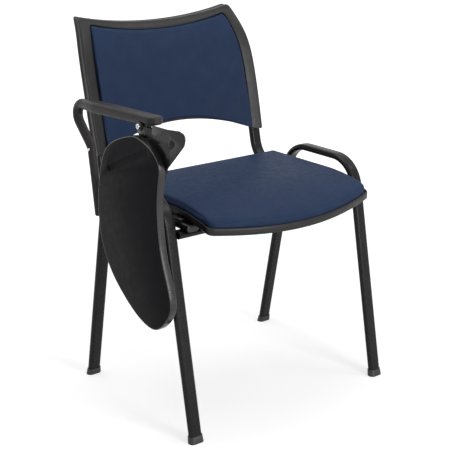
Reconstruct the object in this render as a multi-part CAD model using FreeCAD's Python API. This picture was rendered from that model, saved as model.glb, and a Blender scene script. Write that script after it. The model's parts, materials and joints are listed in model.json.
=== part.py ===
import FreeCAD, Part
import math
import os

# Student desk chair: two bent side frames, plastic seat and back with vinyl pads,
# and a writing tablet that hangs beside the sitter's right-hand arm.
# Millimetres. +Z is up, the sitter faces -Y, the sitter's left hand is at +X.
# While it is modelled, the origin is on the floor midway between the side frames.
# The finished pieces are then shifted so that it is under the centre of the whole box.

V = FreeCAD.Vector

# Side frames: flat-oval steel tube, 30 wide across the chair
TUBE_W = 30.0
TUBE_T = 15.0
TUBE_WALL = 1.5
FRAME_X = 261.5          # centre of each side frame
FOOT_FRONT_Y = -211.0    # where the leg lines meet the floor
FOOT_REAR_Y = 203.0
HANDLE_FRONT_Y = -114.0  # where the leg lines meet the handle line
HANDLE_REAR_Y = 102.0
HANDLE_Z = 504.0
HANDLE_BEND_R = 72.0

# Foot caps
CAP_FLOOR = 3.0
CAP_H = 15.0
CAP_LIP = 3.0
CAP_TOP_WALL = 1.6

# Cross tubes and back uprights
CROSS_Z = HANDLE_Z - 73.5
UPRIGHT_INSET = 17.0     # from the back's widest point to the upright's centre line
RAIL_FRONT_Y = -150.0
UPRIGHT_BEND_R = 70.0
UPRIGHT_TOP_Z = 650.0

# Seat
SEAT_HALF_W = 222.0
SEAT_CORNER_Y = -206.0
SEAT_FRONT_Y = -248.0
SEAT_REAR_Y = 123.0
SEAT_RIM_H = 15.0
SEAT_CLEARANCE = 8.0     # between the rail under the seat and the shell's rim
SEAT_RIM_Z = CROSS_Z + 1.5 * TUBE_T + SEAT_CLEARANCE + SEAT_RIM_H
SEAT_CORNER_R = 10.0
SEAT_PAD_CORNER_R = 12.0
SEAT_PAD_EASE = 8.0
SEAT_FALL_START_Y = -80.0
SEAT_FALL = 0.00112      # drop of the front edge per square millimetre
SEAT_RECESS = 4.0
SEAT_PLATE = 4.0
SEAT_RIM_WALL = 3.0
SEAT_PAD_GAP = 1.0
SEAT_BOARD_T = 6.0
SEAT_FOAM_T = 17.0

# Backrest
BACK_LOW_Z = 526.0
BACK_LOW_ARCH = 47.0
BACK_TOP_Z = 825.0
BACK_TOP_DIP = 24.0
BACK_TOP_HALF_W = 212.0
BACK_HALF_W = 237.0
UPRIGHT_X = BACK_HALF_W - UPRIGHT_INSET
BACK_SAG = 28.0          # how far the middle lies behind the sides
BACK_RIM_D = 26.0
BACK_RECESS = 6.0
BACK_PLATE = 4.0
BACK_RIM_WALL = 4.0
BACK_BORDER_SIDE = 28.0
BACK_BORDER_TOP = 17.0
BACK_BORDER_LOW = 6.0
BACK_BOARD_T = 4.0
BACK_FOAM_T = 11.0
BACK_PAD_GAP = 1.0
UPRIGHT_FIT = 0.3        # clearance of the uprights in the shell

# Arm on the sitter's right: a padded bar that grows thicker from the post to the rest
ARM_OFFSET = 7.5         # from the side frame's outer face to the arm's centre line
ARM_X = -(FRAME_X + TUBE_W / 2.0 + ARM_OFFSET)
POST_R = 8.7
LOOP_R = 11.0            # radius of the section at the top of the loop
ARM_LOW = (111.3, 424.0)
ARM_KNEE = (131.1, 569.2)
ARM_KNEE_BEND = 40.0
ARM_LOOP = (217.8, 655.9)
ARM_LOOP_BEND = 25.0
ARM_TIP_Y = -129.0
ARM_RISE = 0.045         # the rest climbs towards its front
ARM_REST_W = 35.0
ARM_REST_REAR_Y = 150.0
ARM_REST_REAR_H = 23.4
ARM_REST_TIP_H = 19.0
ARM_EASE = 6.0           # rounding of the rest's long edges
ARM_BORE_R = 9.8         # hole in the padding round the bracket bolt
ARM_SCREW_D = 3.0
ARM_SCREW_HEAD_D = 6.4
ARM_SCREW_HEAD_H = 2.4
CORE_T = 9.0
CORE_H = 12.0
ARM_BOLT_D = 6.0
ARM_BOLT_PITCH = 20.0
ARM_BOLT_RISE = 19.0     # the lower bolt above the cross tube
BOLT_FIT = 0.2           # radial clearance of bolts in their holes

# Tablet hinge: a pin along Y, then a pivot bolt across it
HINGE_X = ARM_X - 12.0
HINGE_Z = 656.0
PIN_D = 4.0
KNUCKLE_D = 8.0
HINGE_REAR_Y = -136.5
HINGE_FRONT_Y = -212.0
PLATE_T = 3.0
PIVOT_Y = -200.0
PIVOT_Z = 642.0
PIVOT_D = 8.0
BRACKET_BOLT_Y = -89.0
BRACKET_BOLT_Z = 657.0
BRACKET_BOLT_D = 6.0

# Tablet
TABLET_T = 15.0
EDGE_BAND_T = 2.0
GROOVE_R = 8.0
GROOVE_DEPTH = 4.0
GROOVE_REAR = (3.0, 555.0)
GROOVE_FRONT = (-138.0, 617.0)

RUNNING_GAP = 0.05       # radial clearance of the pin and the pivot bolt
GAP = 0.5                # clearance between plates that move past each other


# ---------------------------------------------------------------- helpers

def yz(x, points):
    return [V(x, y, z) for y, z in points]


def bent_path(points, radii):
    """Straight runs joined by arcs; radii holds one bend radius per inner point."""
    edges = []
    start = points[0]
    for i, radius in enumerate(radii):
        corner = points[i + 1]
        before = (points[i] - corner).normalize()
        after = (points[i + 2] - corner).normalize()
        half = before.getAngle(after) / 2.0
        setback = radius / math.tan(half)
        p1 = corner + before * setback
        p2 = corner + after * setback
        inward = (before + after).normalize()
        middle = corner + inward * (radius / math.sin(half) - radius)
        edges.append(Part.LineSegment(start, p1).toShape())
        edges.append(Part.Arc(p1, middle, p2).toShape())
        start = p2
    edges.append(Part.LineSegment(start, points[-1]).toShape())
    return Part.Wire(edges)


def flat_oval(centre, along, across, width, thick):
    r = thick / 2.0
    h = width / 2.0 - r
    a = centre + along * h + across * r
    b = centre - along * h + across * r
    c = centre - along * h - across * r
    d = centre + along * h - across * r
    left = centre - along * (h + r)
    right = centre + along * (h + r)
    return Part.Wire([
        Part.LineSegment(a, b).toShape(),
        Part.Arc(b, left, c).toShape(),
        Part.LineSegment(c, d).toShape(),
        Part.Arc(d, right, a).toShape(),
    ])


def polygon_wire(points):
    return Part.makePolygon(list(points) + [points[0]])


def rounded_polygon(points, radius):
    """Closed wire through points in one plane, each corner rounded."""
    count = len(points)
    edges = []
    ends = []
    for i in range(count):
        corner = points[i]
        before = (points[i - 1] - corner).normalize()
        after = (points[(i + 1) % count] - corner).normalize()
        half = before.getAngle(after) / 2.0
        r = radius[i] if isinstance(radius, (list, tuple)) else radius
        setback = r / math.tan(half)
        p1 = corner + before * setback
        p2 = corner + after * setback
        middle = corner + (before + after).normalize() * (r / math.sin(half) - r)
        ends.append((p1, middle, p2))
    for i in range(count):
        p1, middle, p2 = ends[i]
        following = ends[(i + 1) % count][0]
        edges.append(Part.Arc(p1, middle, p2).toShape())
        if (p2 - following).Length > 1e-6:
            edges.append(Part.LineSegment(p2, following).toShape())
    return Part.Wire(edges)


def prism(wire, vector):
    return Part.Face(wire).extrude(vector)


def sweep(path, profile):
    return Part.Wire(path).makePipeShell([profile], True, False)


def cyl(start, direction, radius, length):
    return Part.makeCylinder(radius, length, start, direction)


def mirrored(shape):
    return shape.mirror(V(0, 0, 0), V(1, 0, 0))


def oval_tube(path, start, tangent):
    across = tangent.cross(V(1, 0, 0)).normalize()
    outer = sweep(path, flat_oval(start, V(1, 0, 0), across, TUBE_W, TUBE_T))
    bore_w = TUBE_W - 2 * TUBE_WALL
    bore_t = TUBE_T - 2 * TUBE_WALL
    inner = sweep(path, flat_oval(start, V(1, 0, 0), across, bore_w, bore_t))
    return outer, inner


def slab_below(z):
    return Part.makeBox(2000, 2000, 500, V(-1000, -1000, z - 500))


# ---------------------------------------------------------------- side frames

FRONT_SLOPE = (HANDLE_FRONT_Y - FOOT_FRONT_Y) / HANDLE_Z
REAR_SLOPE = (HANDLE_REAR_Y - FOOT_REAR_Y) / HANDLE_Z


def leg_y(front, z):
    if front:
        return FOOT_FRONT_Y + FRONT_SLOPE * z
    return FOOT_REAR_Y + REAR_SLOPE * z


POST_LEAN = (ARM_KNEE[0] - ARM_LOW[0]) / (ARM_KNEE[1] - ARM_LOW[1])
ARM_BOLTS = []
for i in range(2):
    bolt_z = CROSS_Z + ARM_BOLT_RISE + i * ARM_BOLT_PITCH
    post_y = ARM_LOW[0] + POST_LEAN * (bolt_z - ARM_LOW[1])
    ARM_BOLTS.append(((leg_y(False, bolt_z) + post_y) / 2.0, bolt_z))


def side_frame(x):
    below = -30.0
    points = yz(x, [
        (leg_y(False, below), below),
        (HANDLE_REAR_Y, HANDLE_Z),
        (HANDLE_FRONT_Y, HANDLE_Z),
        (leg_y(True, below), below),
    ])
    path = bent_path(points, [HANDLE_BEND_R, HANDLE_BEND_R])
    tangent = (points[1] - points[0]).normalize()
    outer, inner = oval_tube(path, points[0], tangent)
    return outer.cut(inner).cut(slab_below(CAP_FLOOR))


def arm_bolt_holes(radius):
    holes = []
    for y, z in ARM_BOLTS:
        holes.append(cyl(V(ARM_X - 40, y, z), V(1, 0, 0), radius, 100))
    return Part.makeCompound(holes)


def foot_cap(x, front):
    y_low = leg_y(front, 0)
    y_high = leg_y(front, CAP_H)
    low = flat_oval(V(x, y_low, 0), V(1, 0, 0), V(0, 1, 0),
                    TUBE_W + 2 * CAP_LIP, TUBE_T + 2 * CAP_LIP)
    high = flat_oval(V(x, y_high, CAP_H), V(1, 0, 0), V(0, 1, 0),
                     TUBE_W + 2 * CAP_TOP_WALL, TUBE_T + 2 * CAP_TOP_WALL)
    cup = Part.makeLoft([low, high], True)
    start = V(x, leg_y(front, CAP_FLOOR), CAP_FLOOR)
    way = V(0, leg_y(front, 100) - leg_y(front, 0), 100)
    socket = prism(flat_oval(start, V(1, 0, 0), V(0, 1, 0), TUBE_W, TUBE_T + 1.0), way)
    return cup.cut(socket)


# ---------------------------------------------------------------- under-frame

UPRIGHT_LEAN = 0.22
RAIL_Z = CROSS_Z + TUBE_T


def cross_tube(front):
    y = leg_y(front, CROSS_Z)
    half = FRAME_X - TUBE_W / 2.0
    outer = flat_oval(V(-half, y, CROSS_Z), V(0, 1, 0), V(0, 0, 1), TUBE_W, TUBE_T)
    inner = flat_oval(V(-half, y, CROSS_Z), V(0, 1, 0), V(0, 0, 1),
                      TUBE_W - 2 * TUBE_WALL, TUBE_T - 2 * TUBE_WALL)
    way = V(2 * half, 0, 0)
    return prism(outer, way).cut(prism(inner, way))


# ---------------------------------------------------------------- back surface

# Front face of the shell's sides, from the bottom edge to the top edge: (y, z)
BACK_PROFILE = [
    (176.0, 500.0),
    (199.0, 600.0),
    (219.0, 685.0),
    (238.0, 745.0),
    (261.0, 790.0),
    (300.0, 842.0),
]


def back_curve():
    curve = Part.BSplineCurve()
    curve.interpolate([V(0, y, z) for y, z in BACK_PROFILE])
    return curve


def back_side_y(z):
    curve = back_curve()
    line = Part.Line(V(0, 0, z), V(0, 1, z))
    hits = curve.intersect(line)
    return hits[0].Y


def sag_at(x):
    return BACK_SAG * (1.0 - (x / BACK_HALF_W) ** 2)


def back_face():
    """The whole front surface, wider and taller than the shell."""
    curve = back_curve()
    first = curve.FirstParameter
    span = curve.LastParameter - first
    rows = []
    for i in range(15):
        x = -270.0 + 540.0 * i / 14.0
        row = []
        for j in range(13):
            p = curve.value(first + span * j / 12.0)
            row.append(V(x, p.y + sag_at(x), p.z))
        rows.append(row)
    surface = Part.BSplineSurface()
    surface.interpolate(rows)
    return surface.toShape()


def back_layer(face, near, far):
    """Slab between two depths behind the front surface."""
    moved = face.copy()
    moved.translate(V(0, near, 0))
    return moved.extrude(V(0, far - near, 0))


def back_outline(side, top, low, corner):
    """Prism along Y; the three insets are the widths of the border."""
    top_z = BACK_TOP_Z - top
    low_z = BACK_LOW_Z + low
    rise = 1.0 - (BACK_HALF_W - side) / BACK_HALF_W
    arch_low = low_z + BACK_LOW_ARCH * rise * 0.6
    t_in = BACK_TOP_HALF_W - side
    w_in = BACK_HALF_W - side
    y = 0.0
    right = Part.BSplineCurve()
    right.interpolate([
        V(w_in - 1, y, arch_low),
        V(w_in, y, 640),
        V(w_in - 5, y, 745),
        V(t_in, y, top_z),
    ])
    left = Part.BSplineCurve()
    left.interpolate([
        V(-t_in, y, top_z),
        V(-w_in + 5, y, 745),
        V(-w_in, y, 640),
        V(-w_in + 1, y, arch_low),
    ])
    over = Part.Arc(V(t_in, y, top_z), V(0, y, top_z - BACK_TOP_DIP), V(-t_in, y, top_z))
    mid_low = low_z + BACK_LOW_ARCH
    under = Part.Arc(V(-w_in + 1, y, arch_low), V(0, y, mid_low), V(w_in - 1, y, arch_low))
    wire = Part.Wire([right.toShape(), over.toShape(), left.toShape(), under.toShape()])
    body = prism(wire, V(0, 500, 0))
    ribs = [e for e in body.Edges if abs(e.tangentAt(e.FirstParameter).y) > 0.99]
    return body.makeFillet(corner, ribs)


# ---------------------------------------------------------------- seat surface

def seat_z(y):
    return SEAT_RIM_Z - SEAT_FALL * max(0.0, SEAT_FALL_START_Y - y) ** 2


def seat_layer(high, low):
    """Slab between two heights above the shell's rim."""
    ys = [SEAT_REAR_Y + 40, SEAT_FALL_START_Y + 60, SEAT_FALL_START_Y]
    for i in range(1, 9):
        ys.append(SEAT_FALL_START_Y - i * 25.0)
    x = -400.0
    top = Part.BSplineCurve()
    top.interpolate([V(x, y, seat_z(y) + high) for y in ys])
    base = Part.BSplineCurve()
    base.interpolate([V(x, y, seat_z(y) + low) for y in ys])
    first, last = ys[0], ys[-1]
    wire = Part.Wire([
        top.toShape(),
        Part.LineSegment(V(x, last, seat_z(last) + high), V(x, last, seat_z(last) + low)).toShape(),
        base.toShape(),
        Part.LineSegment(V(x, first, seat_z(first) + low), V(x, first, seat_z(first) + high)).toShape(),
    ])
    return prism(wire, V(800, 0, 0))


def seat_plan(inset, corner):
    w = SEAT_HALF_W - inset
    front = SEAT_FRONT_Y + inset
    corner_y = SEAT_CORNER_Y + inset
    rear = SEAT_REAR_Y - inset
    z = 300.0
    wire = Part.Wire([
        Part.Arc(V(-w, corner_y, z), V(0, front, z), V(w, corner_y, z)).toShape(),
        Part.LineSegment(V(w, corner_y, z), V(w, rear, z)).toShape(),
        Part.LineSegment(V(w, rear, z), V(-w, rear, z)).toShape(),
        Part.LineSegment(V(-w, rear, z), V(-w, corner_y, z)).toShape(),
    ])
    body = prism(wire, V(0, 0, 300))
    ribs = [e for e in body.Edges if abs(e.tangentAt(e.FirstParameter).z) > 0.99]
    return body.makeFillet(corner, ribs)


def seat_shell():
    shell = seat_layer(0, -SEAT_RIM_H).common(seat_plan(0, SEAT_CORNER_R))
    tray = seat_layer(20, -SEAT_RECESS).common(seat_plan(SEAT_RIM_WALL, SEAT_CORNER_R - SEAT_RIM_WALL))
    under = seat_layer(-SEAT_RECESS - SEAT_PLATE, -60).common(seat_plan(SEAT_RIM_WALL, SEAT_CORNER_R - SEAT_RIM_WALL))
    return shell.cut(tray).cut(under)


def seat_board():
    inset = SEAT_RIM_WALL + SEAT_PAD_GAP
    low = -SEAT_RECESS
    return seat_layer(low + SEAT_BOARD_T, low).common(seat_plan(inset, SEAT_PAD_CORNER_R))


def seat_cushion():
    inset = SEAT_RIM_WALL + SEAT_PAD_GAP
    low = -SEAT_RECESS + SEAT_BOARD_T
    pad = seat_layer(low + SEAT_FOAM_T, low).common(seat_plan(inset, SEAT_PAD_CORNER_R))
    crest = [e for e in pad.Edges if e.CenterOfMass.z > seat_z(e.CenterOfMass.y) + low + SEAT_FOAM_T - 1.5]
    return pad.makeFillet(SEAT_PAD_EASE, crest)


CLIP_Y = [-105.0, 60.0]
CLIP_L = 36.0
SEAT_SCREW_X = UPRIGHT_X - TUBE_W / 2.0 - 5.5
CLIP_IN = 26.0           # reach of a clip to each side of the rail's centre line
CLIP_OUT = 13.0
CLIP_GAP = 0.3           # clearance to the shell's rim
CLIP_BASE_Z = RAIL_Z - TUBE_T / 2.0 + 3.0


def seat_clips():
    clips = []
    for side in (-1, 1):
        for y in CLIP_Y:
            top = seat_z(y) - SEAT_RECESS - SEAT_PLATE
            left = min(side * (UPRIGHT_X - CLIP_IN), side * (UPRIGHT_X + CLIP_OUT))
            block = Part.makeBox(CLIP_IN + CLIP_OUT, CLIP_L, top - CLIP_BASE_Z,
                                 V(left, y - CLIP_L / 2.0, CLIP_BASE_Z))
            saddle = flat_oval(V(side * UPRIGHT_X, y - CLIP_L, RAIL_Z), V(1, 0, 0), V(0, 0, 1),
                               TUBE_W, TUBE_T)
            block = block.cut(prism(saddle, V(0, 2 * CLIP_L, 0)))
            inside = seat_plan(SEAT_RIM_WALL + CLIP_GAP, SEAT_CORNER_R - SEAT_RIM_WALL)
            under_plate = seat_layer(-SEAT_RECESS - SEAT_PLATE, -60).common(inside)
            under_rim = seat_layer(-SEAT_RIM_H - CLIP_GAP, -60)
            clip = block.common(under_plate).fuse(block.common(under_rim))
            clips.append(clip.cut(seat_screw_shank(side, y)))
    return Part.makeCompound(clips)


SEAT_SCREW_D = 3.8
SEAT_SCREW_HEAD_D = 6.8
SEAT_SCREW_HEAD_H = 2.6


def seat_screw_shank(side, y):
    """Shank that runs up beside the rail, through the clip and plate, into the board."""
    top = seat_z(y) - SEAT_RECESS + SEAT_BOARD_T / 2.0
    start = V(side * SEAT_SCREW_X, y, CLIP_BASE_Z)
    return cyl(start, V(0, 0, 1), SEAT_SCREW_D / 2.0, top - CLIP_BASE_Z)


def seat_screws():
    screws = []
    for side in (-1, 1):
        for y in CLIP_Y:
            low = V(side * SEAT_SCREW_X, y, CLIP_BASE_Z - SEAT_SCREW_HEAD_H)
            head = cyl(low, V(0, 0, 1), SEAT_SCREW_HEAD_D / 2.0, SEAT_SCREW_HEAD_H)
            head = head.makeFillet(1.2, [head.Edges[2]])
            screws.append(seat_screw_shank(side, y).fuse(head))
    return Part.makeCompound(screws)


# ---------------------------------------------------------------- backrest pieces

def upright_path(side):
    x = side * UPRIGHT_X
    depth = BACK_RIM_WALL + 0.2 + TUBE_T / 2.0
    entry_y = back_side_y(BACK_LOW_Z) + sag_at(x) + depth
    foot_y = entry_y - UPRIGHT_LEAN * (BACK_LOW_Z - RAIL_Z)
    top_y = entry_y + UPRIGHT_LEAN * (UPRIGHT_TOP_Z - BACK_LOW_Z)
    points = [V(x, top_y, UPRIGHT_TOP_Z), V(x, foot_y, RAIL_Z), V(x, RAIL_FRONT_Y, RAIL_Z)]
    return points


def back_upright(side, grow=0.0):
    points = upright_path(side)
    path = bent_path(points, [UPRIGHT_BEND_R])
    tangent = (points[1] - points[0]).normalize()
    across = tangent.cross(V(1, 0, 0)).normalize()
    if grow:
        wire = flat_oval(points[0], V(1, 0, 0), across, TUBE_W + 2 * grow, TUBE_T + 2 * grow)
        return sweep(path, wire)
    outer, inner = oval_tube(path, points[0], tangent)
    return outer.cut(inner)


BACK_SCREW_Z = [575.0, 630.0]


def back_screw(side, z, head):
    points = upright_path(side)
    x = side * UPRIGHT_X
    y_mid = points[1].y + UPRIGHT_LEAN * (z - RAIL_Z)
    front_y = back_side_y(z) + sag_at(x) + 1.5
    rear_y = y_mid + TUBE_T / 2.0 + 1.3
    shank = cyl(V(x, front_y, z), V(0, 1, 0), 2.4, rear_y - front_y)
    if not head:
        return shank
    cap = cyl(V(x, rear_y, z), V(0, 1, 0), 4.5, 2.6)
    return shank.fuse(cap)


def back_shell(face, fitted):
    outline = back_outline(0, 0, 0, 7)
    shell = back_layer(face, 0, BACK_RIM_D).common(outline)
    tray = back_outline(BACK_BORDER_SIDE, BACK_BORDER_TOP, BACK_BORDER_LOW, 9)
    shell = shell.cut(back_layer(face, -30, BACK_RECESS).common(tray))
    wall = BACK_RIM_WALL
    hollow = back_outline(wall, wall, wall, 5)
    shell = shell.cut(back_layer(face, BACK_RECESS + BACK_PLATE, 90).common(hollow))
    for piece in fitted:
        shell = shell.cut(piece)
    return shell


def back_pad(face, near, far):
    gap = BACK_PAD_GAP
    outline = back_outline(BACK_BORDER_SIDE + gap, BACK_BORDER_TOP + gap, BACK_BORDER_LOW + gap, 8)
    return back_layer(face, near, far).common(outline)


# ---------------------------------------------------------------- arm

def arm_axis_z(y):
    return ARM_LOOP[1] + ARM_RISE * (ARM_LOOP[0] - y)


def arm_points(end_y):
    """Centre line of the arm: post, knee, loop at the back, arm rest."""
    return yz(ARM_X, [ARM_LOW, ARM_KNEE, ARM_LOOP, (end_y, arm_axis_z(end_y))])


def arm_start(points):
    tangent = (points[1] - points[0]).normalize()
    return tangent, tangent.cross(V(1, 0, 0)).normalize()


def arm_core():
    points = arm_points(ARM_TIP_Y + 20.0)
    points[0] = points[0] + V(0, 0, 4.0)
    path = bent_path(points, [ARM_KNEE_BEND, ARM_LOOP_BEND])
    tangent, across = arm_start(points)
    corners = []
    for sx, sa in ((-1, -1), (1, -1), (1, 1), (-1, 1)):
        corners.append(points[0] + V(sx * CORE_T / 2.0, 0, 0) + across * (sa * CORE_H / 2.0))
    bar = sweep(path, polygon_wire(corners))
    return bar.fuse(arm_lug())


LUG_X = HINGE_X - PLATE_T + 0.5
LUG_T = 6.0
LUG_REAR_Y = BRACKET_BOLT_Y + 14.0
LUG_FRONT_Y = BRACKET_BOLT_Y - 19.0


def arm_lug():
    """Steel tongue under the front of the arm rest that carries the hinge bracket."""
    low = BRACKET_BOLT_Z - 17.0
    length = LUG_REAR_Y - LUG_FRONT_Y
    high = arm_axis_z(BRACKET_BOLT_Y) + 2.0
    tongue = Part.makeBox(LUG_T, length, high - low, V(LUG_X, LUG_FRONT_Y, low))
    shelf = Part.makeBox(ARM_X - LUG_X, length, 5.0, V(LUG_X, LUG_FRONT_Y, high - 5.0))
    return tongue.fuse(shelf)


def arm_rest():
    rear = ARM_REST_REAR_Y
    tip = ARM_TIP_Y
    half = ARM_REST_W / 2.0
    rear_z = arm_axis_z(rear)
    tip_z = arm_axis_z(tip)
    side = prism(polygon_wire(yz(ARM_X - 30, [
        (rear, rear_z + ARM_REST_REAR_H / 2.0),
        (tip, tip_z + ARM_REST_TIP_H / 2.0),
        (tip, tip_z - ARM_REST_TIP_H / 2.0),
        (rear, rear_z - ARM_REST_REAR_H / 2.0),
    ])), V(60, 0, 0))
    shoulder = rear - 55.0
    plan = rounded_polygon([
        V(ARM_X - LOOP_R, rear, 600),
        V(ARM_X - half, shoulder, 600),
        V(ARM_X - half, tip, 600),
        V(ARM_X + half, tip, 600),
        V(ARM_X + half, shoulder, 600),
        V(ARM_X + LOOP_R, rear, 600),
    ], [2, 60, half - 1.0, half - 1.0, 60, 2])
    bar = side.common(prism(plan, V(0, 0, 150)))
    long_edges = [e for e in bar.Edges if e.Length > 25 and abs(e.tangentAt(e.FirstParameter).z) < 0.2]
    return bar.makeFillet(ARM_EASE, long_edges)


def arm_cover():
    points = arm_points(ARM_REST_REAR_Y - 40.0)
    path = bent_path(points, [ARM_KNEE_BEND, ARM_LOOP_BEND])
    tangent = (points[1] - points[0]).normalize()
    last = points[-1]
    forward = (last - points[2]).normalize()
    pipe = Part.BRepOffsetAPI.MakePipeShell(path)
    pipe.add(Part.Wire([Part.makeCircle(POST_R, points[0], tangent)]))
    pipe.add(Part.Wire([Part.makeCircle(LOOP_R, last, forward)]))
    pipe.build()
    pipe.makeSolid()
    rod = pipe.shape()
    end = Part.makeSphere(POST_R, points[0])
    cover = rod.fuse(end).fuse(arm_rest())
    outer = ARM_X - ARM_REST_W
    bore = cyl(V(outer, BRACKET_BOLT_Y, BRACKET_BOLT_Z), V(1, 0, 0), ARM_BORE_R, LUG_X - outer)
    nut_room = cyl(V(LUG_X + LUG_T, BRACKET_BOLT_Y, BRACKET_BOLT_Z), V(1, 0, 0), 6.8, 8.0)
    pressed = Part.makeBox(TUBE_W, 200, HANDLE_Z + TUBE_T, V(-FRAME_X - TUBE_W / 2.0, ARM_LOW[0] - 100, 0))
    return cover.cut(bore).cut(nut_room).cut(pressed)


def arm_screw():
    """Small screw through the post's padding into its steel core, near the knee."""
    y = ARM_KNEE[0] - 3.0
    z = ARM_KNEE[1] - 4.0
    outer = ARM_X - POST_R - 1.2
    shank = cyl(V(outer, y, z), V(1, 0, 0), ARM_SCREW_D / 2.0, ARM_X - outer)
    head = cyl(V(outer - 1.4, y, z), V(1, 0, 0), ARM_SCREW_HEAD_D / 2.0, ARM_SCREW_HEAD_H)
    return shank.fuse(head)


def arm_spacers():
    spacers = []
    start = -FRAME_X - TUBE_W / 2.0
    length = start - (ARM_X + POST_R - 1.5)
    for y, z in ARM_BOLTS:
        ring = cyl(V(start - length, y, z), V(1, 0, 0), 6.5, length)
        spacers.append(ring.cut(cyl(V(start - length, y, z), V(1, 0, 0), ARM_BOLT_D / 2.0 + BOLT_FIT, length)))
    return Part.makeCompound(spacers)


def arm_bolts():
    bolts = []
    inner = -FRAME_X + TUBE_W / 2.0
    for y, z in ARM_BOLTS:
        shank = cyl(V(ARM_X - 4.0, y, z), V(1, 0, 0), ARM_BOLT_D / 2.0, inner - ARM_X + 4.0)
        head = cyl(V(inner, y, z), V(1, 0, 0), 5.0, 4.0)
        head = head.makeFillet(1.4, [head.Edges[0]])
        bolts.append(shank.fuse(head))
    return Part.makeCompound(bolts)


# ---------------------------------------------------------------- tablet hinge

LEAF_OUT_X = HINGE_X - PLATE_T
CARRIER_IN_X = LEAF_OUT_X - PLATE_T
CARRIER_OUT_X = CARRIER_IN_X - PLATE_T
BRACKET_OUT_X = CARRIER_IN_X + GAP
TABLET_IN_X = CARRIER_OUT_X
TABLET_OUT_X = TABLET_IN_X - TABLET_T


def hinge_bracket():
    """Fixed plate on the arm's lug, with the boss that holds the hinge pin."""
    thick = LUG_X - BRACKET_OUT_X
    rear = BRACKET_BOLT_Y + 11.0
    front = HINGE_REAR_Y + 1.0
    top = HINGE_Z + 2.5
    plate = prism(rounded_polygon(yz(BRACKET_OUT_X, [
        (rear, top), (front, top), (front, 618.0), (rear - 12.0, 612.0),
    ]), 4.0), V(thick, 0, 0))
    ear = cyl(V(BRACKET_OUT_X, BRACKET_BOLT_Y, BRACKET_BOLT_Z), V(1, 0, 0), 9.0, thick)
    boss = cyl(V(HINGE_X, HINGE_REAR_Y + GAP, HINGE_Z), V(0, 1, 0), KNUCKLE_D / 2.0,
               LUG_FRONT_Y - HINGE_REAR_Y - 2 * GAP)
    stop = Part.makeBox(PLATE_T, 42.0, 22.0, V(HINGE_X + GAP, HINGE_REAR_Y - 26.0, HINGE_Z - 27.0))
    neck = Part.makeBox(PLATE_T, 15.0, 8.0, V(HINGE_X + GAP, HINGE_REAR_Y + GAP, HINGE_Z - 7.0))
    solid = plate.fuse(ear).fuse(boss).fuse(stop).fuse(neck)
    bolt = cyl(V(-400, BRACKET_BOLT_Y, BRACKET_BOLT_Z), V(1, 0, 0), BRACKET_BOLT_D / 2.0 + 0.2, 200)
    pin = cyl(V(HINGE_X, -400, HINGE_Z), V(0, 1, 0), PIN_D / 2.0, 300)
    return solid.cut(bolt).cut(pin)


def bracket_bolt():
    axis = V(1, 0, 0)
    start = BRACKET_OUT_X - 1.5
    shank = cyl(V(start, BRACKET_BOLT_Y, BRACKET_BOLT_Z), axis, BRACKET_BOLT_D / 2.0,
                LUG_X + LUG_T + 7.0 - start)
    head = cyl(V(start - 5.0, BRACKET_BOLT_Y, BRACKET_BOLT_Z), axis, 5.5, 5.0)
    head = head.makeFillet(0.8, [head.Edges[2]])
    socket = Part.Face(hexagon(V(start - 5.0, BRACKET_BOLT_Y, BRACKET_BOLT_Z), 2.9)).extrude(V(2.8, 0, 0))
    return shank.fuse(head).cut(socket)


def hexagon(centre, radius):
    points = []
    for i in range(6):
        angle = math.radians(60 * i + 30)
        points.append(centre + V(0, radius * math.cos(angle), radius * math.sin(angle)))
    return polygon_wire(points)


def ring(x, length, y, z, outer, inner):
    body = cyl(V(x, y, z), V(1, 0, 0), outer, length)
    return body.cut(cyl(V(x, y, z), V(1, 0, 0), inner, length))


def hex_nut(x, length, y, z, flats, bore):
    body = Part.Face(hexagon(V(x, y, z), flats / math.sqrt(3))).extrude(V(length, 0, 0))
    return body.cut(cyl(V(x, y, z), V(1, 0, 0), bore, length))


def hinge_pin():
    rear = BRACKET_BOLT_Y - 20.0
    front = HINGE_FRONT_Y - GAP
    shank = cyl(V(HINGE_X, front, HINGE_Z), V(0, 1, 0), PIN_D / 2.0, rear - front)
    head = cyl(V(HINGE_X, front - 1.8, HINGE_Z), V(0, 1, 0), 3.4, 1.8)
    return shank.fuse(head)


def hinge_leaf():
    """Rolled knuckle on the pin and the plate that carries the pivot bolt."""
    length = HINGE_REAR_Y - HINGE_FRONT_Y
    knuckle = cyl(V(HINGE_X, HINGE_FRONT_Y, HINGE_Z), V(0, 1, 0), KNUCKLE_D / 2.0, length)
    plate = prism(rounded_polygon(yz(LEAF_OUT_X, [
        (HINGE_REAR_Y - 3.0, HINGE_Z),
        (HINGE_FRONT_Y, HINGE_Z),
        (HINGE_FRONT_Y, PIVOT_Z - 8.0),
        (PIVOT_Y - 4.0, PIVOT_Z - 24.0),
        (PIVOT_Y + 12.0, PIVOT_Z - 24.0),
    ]), [1.0, 1.0, 5.0, 6.0, 8.0]), V(PLATE_T, 0, 0))
    solid = knuckle.fuse(plate)
    pin = cyl(V(HINGE_X, -400, HINGE_Z), V(0, 1, 0), PIN_D / 2.0 + RUNNING_GAP, 400)
    pivot = cyl(V(-400, PIVOT_Y, PIVOT_Z), V(1, 0, 0), PIVOT_D / 2.0, 200)
    return solid.cut(pin).cut(pivot)


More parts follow.
